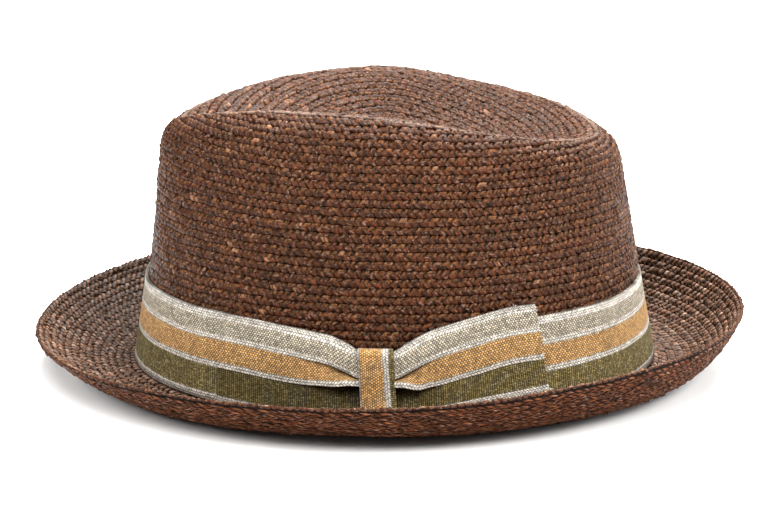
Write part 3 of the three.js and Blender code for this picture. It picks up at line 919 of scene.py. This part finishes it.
def build_crown(straw, plain_straw):
    """The crown: rings of braid over a thin inner shell."""
    surface = crown_surface()
    for name, first, end, seed, profile in (
        ("crown_braid_low", CROWN_FIRST_ROW, 20, 11, BRAID_PROFILE),
        ("crown_braid_high", 20, 34, 12, BRAID_PROFILE),
        ("crown_braid_top", 34, CROWN_ROWS, 13, DENT_PROFILE),
    ):
        braid_object(name, surface, range(first, end), straw, "crown", seed, profile=profile)
    under_braid, inside = 1.6, 1.9
    covered_from = CROWN_FIRST_ROW + 0.2
    bare = np.linspace(0, covered_from, 8)
    hidden = np.linspace(covered_from, CROWN_ROWS, 30)
    back = np.linspace(CROWN_ROWS, 0, CROWN_ROWS + 1)
    numbers = np.concatenate([bare, hidden, back])
    depths = np.repeat([0.0, under_braid, inside], [len(bare), len(hidden), len(back)])
    column = np.arange(0, COLUMNS, SHELL_STEP)
    base, normal = surface.read(numbers + 0 * column[:, None], column[:, None] + 0 * numbers)
    sections = base - normal * depths[:, None]
    around = np.arange(len(column) + 1.0)
    uv = np.stack(np.broadcast_arrays(around[:, None], np.append(numbers, 0.0)), -1)
    shell = ring_body("crown_shell", sections, plain_straw, uv)
    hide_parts("crown")


def lip_points(phi):
    """From under the brim's lip up round it to its top."""
    top, near, under = (brim_points(phi, np.array([share]), depth)[0]
                        for share, depth in ((1.0, 0.0), (0.985, 0.0), (1.0, STRAW)))
    outwards = (top - near) / np.linalg.norm(top - near, axis=-1, keepdims=True)
    up = (top - under) / STRAW
    turn = np.linspace(math.radians(-75), math.radians(80), 16)[:, None, None]
    return top - LIP_ROUND * up + LIP_ROUND * (np.cos(turn) * outwards + np.sin(turn) * up)


def build_brim(straw, rungs, plait, plain_straw):
    """The brim: rings of braid on top, their backs below, and a cord round the lip."""
    phi = all_angles()
    shares = np.linspace(0.999, 0.0, 80)
    upper = brim_points(phi, shares, 0)
    upper[..., 2] += HEEL_RISE * (1 - shares[:, None]) ** 12
    top = Surface(np.concatenate([lip_points(phi), upper]), BRIM_ROWS, 200)
    under_start = -STRAW / BRIM_WIDTH[0]
    under = Surface(brim_points(phi, np.linspace(under_start, UNDER_END, 60), STRAW), BRIM_ROWS, 300)
    half = BRIM_ROWS // 2
    braid_object("brim_lip", top, range(1), straw, "brim", 24,
                 profile=PLAIT_PROFILE, lobe=2.6, lean=(-0.4, 0.4), filled=0.3)
    for name, rows, seed in (
        ("brim_top_outer", range(1, half), 21),
        ("brim_top_inner", range(half, BRIM_ROWS), 22),
    ):
        braid_object(name, top, rows, rungs, "brim", seed,
                     profile=RUNG_PROFILE, lobe=3.2, shape=BACK_LOBE, lean=(0.45, -0.60), filled=0.20)
    braid_object("brim_underside", under, range(BRIM_ROWS), plait, "brim", 23,
                 profile=PLAIT_PROFILE, lobe=3.3, lean=(2.1, -2.1), filled=0.2)
    shares = np.linspace(under_start, 1.005, 12)
    column = phi[::3]
    core_depths = (1.10, 1.45)
    high, low = (brim_points(column, shares, depth) for depth in core_depths)
    sections = np.concatenate([high, low[::-1]]).transpose(1, 0, 2)
    # The core's v is 0 everywhere, so its straw is at its darkest: painted shade for the dark gap under
    # the lip
    uv = np.zeros((len(column) + 1, 2 * len(shares) + 1, 2))
    uv[..., 0] = np.arange(len(column) + 1)[:, None]
    core = ring_body("brim_core", sections, plain_straw, uv)
    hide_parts("brim")


def ribbon_piece(node):
    """Hides the part that a piece of ribbon stands in for."""
    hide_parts(node)


def build_band(ribbon):
    """The band round the crown, gathered a little under the knot."""
    phi = all_angles()
    near = np.sin(phi) > 0
    ys, drawn = zip(*GATHER)
    down = np.where(near, curve_through(ys, drawn, -HEAD_HALF_LENGTH * np.cos(phi)), 0.0)
    rng = np.random.default_rng(31)
    edge_wave, ripple_size, loose_top = 0.12, 0.10, 0.25
    top = cosine_sum(RIBBON_TOP, phi) - down + edge_wave * smooth_noise(rng, COLUMNS, 14, 2)
    bottom = cosine_sum(RIBBON_BOTTOM, phi)
    across = np.linspace(1, 0, 13)
    z = bottom[:, None] + (top - bottom)[:, None] * across
    ripple = ripple_size * smooth_noise(rng, COLUMNS, 10, 3)[:, None] * np.sin(math.pi * across)
    loose = loose_top * across**6
    outer_out = RIBBON_GAP + RIBBON + ripple + loose
    outer = beside_wall(phi[:, None], z, outer_out)
    inner = beside_wall(phi[:, None], z[:, ::4], RIBBON_GAP + 0 * z[:, ::4])
    sections = np.concatenate([outer, inner[:, ::-1]], 1)
    along = lengths_round(outer[:, 6])
    place = np.concatenate([(1 - across) * RIBBON_WIDTH, RIBBON_WIDTH * across[::4], [0.0]])
    uv = np.stack(np.broadcast_arrays(BAND_WEAVE * along[:, None], place), -1)
    band = ring_body("ribbon_band", sections, ribbon, uv)
    ribbon_piece("hat_band")


def at_bow(y, z, out):
    """Points beside the crown wall on the bow's side, by their y."""
    return beside_wall(np.arccos(np.clip(-y / HEAD_HALF_LENGTH, -1, 1)), z, out)


def bow_piece(name, table, slant, under_shade, node, ribbon, seed):
    """A flat loop or tail of ribbon, pleated towards the knot; under_shade is painted shade on its
    olive, under the fold.
    """
    rows = np.array(sorted(table))
    start_y, end_y = rows[0, 0], rows[-1, 0]
    length = end_y - start_y
    y = np.linspace(start_y, end_y, round(length / BOW_STEP))
    top, ochre, bottom, swell, lift = curve_through(rows[:, 0], rows[:, 1:], y).T
    pinch = np.clip((OCHRE_WIDTH - ochre) / 4.0, 0, 1)
    under_ochre = top - OCHRE_START * RIBBON_SCALE
    white = under_ochre - ochre * RIBBON_SCALE
    olive = white - LOW_WHITE_WIDTH * RIBBON_SCALE
    starts = {"top": top, "ochre": under_ochre, "middle": (under_ochre + white) / 2, "white": white,
              "olive": olive}
    heights, places, outs = [], [], []
    for place, start, below, flat, pinched in BOW_SECTION:
        if start == "low":
            heights.append(olive + (bottom - olive) * below)
        else:
            heights.append(starts[start] - below * RIBBON_SCALE)
        places.append(place + 0 * y)
        outs.append(flat + (pinched - flat) * pinch)
    knots = np.arange(len(BOW_SECTION), dtype=float)
    fine = np.arange(4 * len(BOW_SECTION) - 3) / 4
    z, across, out = (curve_through(knots, np.array(v), fine).T for v in (heights, places, outs))
    rng = np.random.default_rng(seed)
    ripple = 0.10 * smooth_noise(rng, len(y), 6, 1.3)[:, None] * np.sin(math.pi * across / RIBBON_WIDTH)
    free = np.clip((y - start_y) / length, 0, 1)[:, None]
    leaned = y[:, None] - slant * free * (z - white[:, None])
    stand = BOW_SEAT + lift[:, None] + BOW_SWELL * swell[:, None] * out + ripple * (swell[:, None] + 0.3)
    front = at_bow(leaned, z, stand + CLOTH)
    back = at_bow(leaned, z, stand)
    uv = np.stack(np.broadcast_arrays(y[:, None] + 0 * z, across), -1)
    piece = slab_body(name, front, back, ribbon, uv)
    # Painted shade in the fold beside the knot and, with under_shade, on the olive under the fold; kept
    # in the fold attribute
    from_knot = np.where(y < KNOT_FRONT, KNOT_FRONT - y, np.maximum(0, y - KNOT_BACK))[:, None]
    below_white = np.clip(1 - (olive[:, None] - z) / FOLD_SHADE_DROP, 0, 1) * (z < olive[:, None] + 0.1)
    near_knot = FOLD_SHADE * ease(1 - from_knot / FOLD_SHADE_REACH) * below_white
    shade = np.maximum(near_knot, under_shade * (z < olive[:, None] + 0.1))
    fold = piece.data.attributes.new("fold", "FLOAT", "POINT")
    fold.data.foreach_set("value", np.tile(shade.ravel(), 2).astype(np.float32))
    ribbon_piece(node)


def build_knot(ribbon):
    """The knot: a narrow fold of ribbon over the gathered ends."""
    turn = np.linspace(0, math.pi / 2, 7)
    drop, fall_back = KNOT_CORNER * (1 - np.cos(turn)), KNOT_CORNER * (1 - np.sin(turn))
    flat = np.linspace(KNOT_TOP - KNOT_CORNER, KNOT_BOTTOM + KNOT_CORNER, 26)[1:-1]
    z = np.concatenate([[KNOT_TOP], KNOT_TOP - drop, flat, KNOT_BOTTOM + drop[::-1], [KNOT_BOTTOM]])
    corner_out = KNOT_OUT - fall_back
    out = np.concatenate([[BOW_SEAT], corner_out, 0 * flat + KNOT_OUT, corner_out[::-1], [BOW_SEAT]])
    columns = np.linspace(0, 1, 17)
    edge = np.clip(np.abs(columns - 0.5) * 2 - KNOT_FLAT, 0, 1) / (1 - KNOT_FLAT)
    tuck = KNOT_TUCK * edge**2
    y = KNOT_FRONT + (KNOT_BACK - KNOT_FRONT) * columns[:, None] + KNOT_SLANT * (KNOT_TOP - z)
    reach = np.clip((out - BOW_SEAT) / (KNOT_OUT - BOW_SEAT), 0, 1)
    front = at_bow(y, z + 0 * y, out - tuck[:, None] * reach)
    inner_z = np.clip(z, KNOT_BOTTOM + CLOTH, KNOT_TOP - CLOTH)
    inner_out = np.maximum(out - CLOTH * reach, BOW_SEAT) - 0.1
    back = at_bow(y, inner_z + 0 * y, inner_out - tuck[:, None] * reach)
    across = KNOT_EDGE_PLACE + (KNOT_BACK - KNOT_FRONT) * columns[:, None]
    along = np.concatenate([[0], np.hypot(np.diff(z), np.diff(out)).cumsum()])
    uv = np.stack(np.broadcast_arrays(along + 0 * y, across), -1)
    piece = slab_body("bow_knot_ribbon", front, back, ribbon, uv)
    ribbon_piece("bow_knot")


def strand(path, thickness):
    """One loose thread along a path, thinner towards its end: its vertices and faces."""
    along = np.gradient(path, axis=0)
    along /= np.linalg.norm(along, axis=1, keepdims=True)
    side = np.cross(along, (0.9, 0.3, 0.3))
    side /= np.linalg.norm(side, axis=1, keepdims=True)
    rise = np.cross(side, along)
    half = np.linspace(0.5, 0.3, len(path))[:, None] * thickness
    corners = ((1, 1), (-1, 1), (-1, -1), (1, -1))
    verts = np.stack([path + half * (a * side + b * rise) for a, b in corners], 1).reshape(-1, 3)
    r, c = grid_corners(len(path), 4, wrap_columns=True)
    last = len(verts) - 4
    ends = [[0, 1, 2, 3], [last + 3, last + 2, last + 1, last]]
    return verts, np.concatenate([(4 * r + c % 4)[:, ::-1], ends])


def build_loose_threads(ribbon):
    """Frayed threads at the tail's cut end and a tuft on its top edge."""
    rng = np.random.default_rng(43)
    end, top, _, bottom, _, lift = BACK_TAIL[-1]

    def cut_end(z):
        return end - TAIL_SLANT * (z - (top + bottom) / 2) - THREAD_SEAT

    threads = []
    for _ in range(TUFT_THREADS):
        start = (TUFT_PLACE + rng.normal(0, 0.7), TUFT_HEIGHT)
        threads.append((*start, rng.normal(0, 0.7), rng.uniform(0.6, 1.6)))
        start = (cut_end(bottom), bottom + rng.uniform(0, 1.6))
        threads.append((*start, rng.uniform(0.5, 1.5), rng.normal(-0.3, 0.6)))
    for _ in range(EDGE_THREADS):
        z = rng.uniform(bottom, top)
        threads.append((cut_end(z), z, rng.uniform(0.4, 0.9), rng.normal(0, 0.15)))
    step = np.linspace(0, 1, 5)
    strands, uv = [], []
    for y, z, run, rise in threads:
        bend = rng.normal(0, 0.25) * step**2
        out = BOW_SEAT + lift + CLOTH / 2 + rng.uniform(0, 0.5) * step
        path = at_bow(y + run * step + bend, z + rise * step - bend, out)
        strands.append(strand(path, THREAD))
        across = np.clip(RIBBON_WIDTH * (top - z) / (top - bottom), 1.0, RIBBON_WIDTH - 1.0)
        uv.append(np.broadcast_to((rng.uniform(0, 50), across), (*strands[-1][1].shape, 2)))
    verts, faces = joined(*zip(*strands))
    piece = mesh_object("bow_tail_threads", verts, faces, ribbon, np.concatenate(uv))
    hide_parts("bow_tail_back")


def build_bow(ribbon):
    bow_piece("bow_loop", FRONT_LOOP, 0.0, 0.35, "bow_loop_front", ribbon, 41)
    bow_piece("bow_tail", BACK_TAIL, TAIL_SLANT, 0.0, "bow_tail_back", ribbon, 42)
    build_knot(ribbon)
    build_loose_threads(ribbon)


def look_at(thing, place, target):
    thing.location = place
    thing.rotation_mode = "QUATERNION"
    thing.rotation_quaternion = (Vector(target) - Vector(place)).to_track_quat("-Z", "Y")


def make_camera():
    """The photograph's viewpoint: a long lens level with the bow, a little above the brim."""
    level = CAMERA_DISTANCE * math.cos(CAMERA_ELEVATION)
    place = (
        level * math.cos(CAMERA_YAW),
        level * math.sin(CAMERA_YAW) + OVAL_CENTRE_Y,
        CAMERA_DISTANCE * math.sin(CAMERA_ELEVATION) + CAMERA_AIM_HEIGHT,
    )
    camera = bpy.data.objects.new("camera", bpy.data.cameras.new("camera"))
    camera.data.lens = CAMERA_LENS
    camera.data.clip_start = 0.05
    bpy.context.scene.collection.objects.link(camera)
    aim = (0.0, (CAMERA_AIM_Y + OVAL_CENTRE_Y) * MM, CAMERA_AIM_HEIGHT * MM)
    look_at(camera, [v * MM for v in place], aim)
    bpy.context.scene.camera = camera


def make_light(name, place, size, power):
    lamp = bpy.data.lights.new(name, "AREA")
    lamp.shape = "RECTANGLE"
    lamp.size, lamp.size_y = size
    lamp.energy = power
    light = bpy.data.objects.new(name, lamp)
    bpy.context.scene.collection.objects.link(light)
    look_at(light, place, LIGHT_AIM)


def make_world():
    """A white room: full white behind the hat, dimmer as a soft light."""
    world = bpy.data.worlds.new("studio")
    world.use_nodes = True
    tree = world.node_tree
    background = tree.nodes["Background"]
    background.inputs["Color"].default_value = (1.0, 1.0, 1.0, 1.0)
    rays = tree.nodes.new("ShaderNodeLightPath")
    strength = tree.nodes.new("ShaderNodeMapRange")
    strength.inputs["To Min"].default_value = WORLD_LIGHT
    strength.inputs["To Max"].default_value = 1.0
    tree.links.new(rays.outputs["Is Camera Ray"], strength.inputs["Value"])
    tree.links.new(strength.outputs["Result"], background.inputs["Strength"])
    bpy.context.scene.world = world


def make_floor():
    corners = [(x * FLOOR_REACH, y * FLOOR_REACH, 0) for x, y in ((-1, -1), (1, -1), (1, 1), (-1, 1))]
    mesh = bpy.data.meshes.new("floor")
    mesh.from_pydata(corners, [], [(0, 1, 2, 3)])
    floor = bpy.data.objects.new("floor", mesh)
    n = Nodes("floor")
    ground = n.add("TexCoord").outputs["Object"]
    grain = n.noise(ground, 2.0, scale=40.0)
    paper = n.ramp(grain, [(0.3, (0.80, 0.795, 0.785)), (0.7, (0.83, 0.825, 0.815))])
    n.finish(paper, 0.9, 0.1)
    mesh.materials.append(n.material)
    bpy.context.scene.collection.objects.link(floor)


def main():
    bpy.context.scene.view_settings.view_transform = "Standard"
    make_camera()
    make_world()
    make_floor()
    for light in LIGHTS:
        make_light(*light)
    straw = straw_material("straw", **WALL_STRAW)
    rungs = straw_material("straw_rungs", **RUNG_STRAW)
    plait = straw_material("straw_plait", **PLAIT_STRAW)
    plain_straw = plain_straw_material("straw_plain")
    ribbon = ribbon_material("ribbon")
    build_crown(straw, plain_straw)
    build_brim(straw, rungs, plait, plain_straw)
    build_band(ribbon)
    build_bow(ribbon)


main()
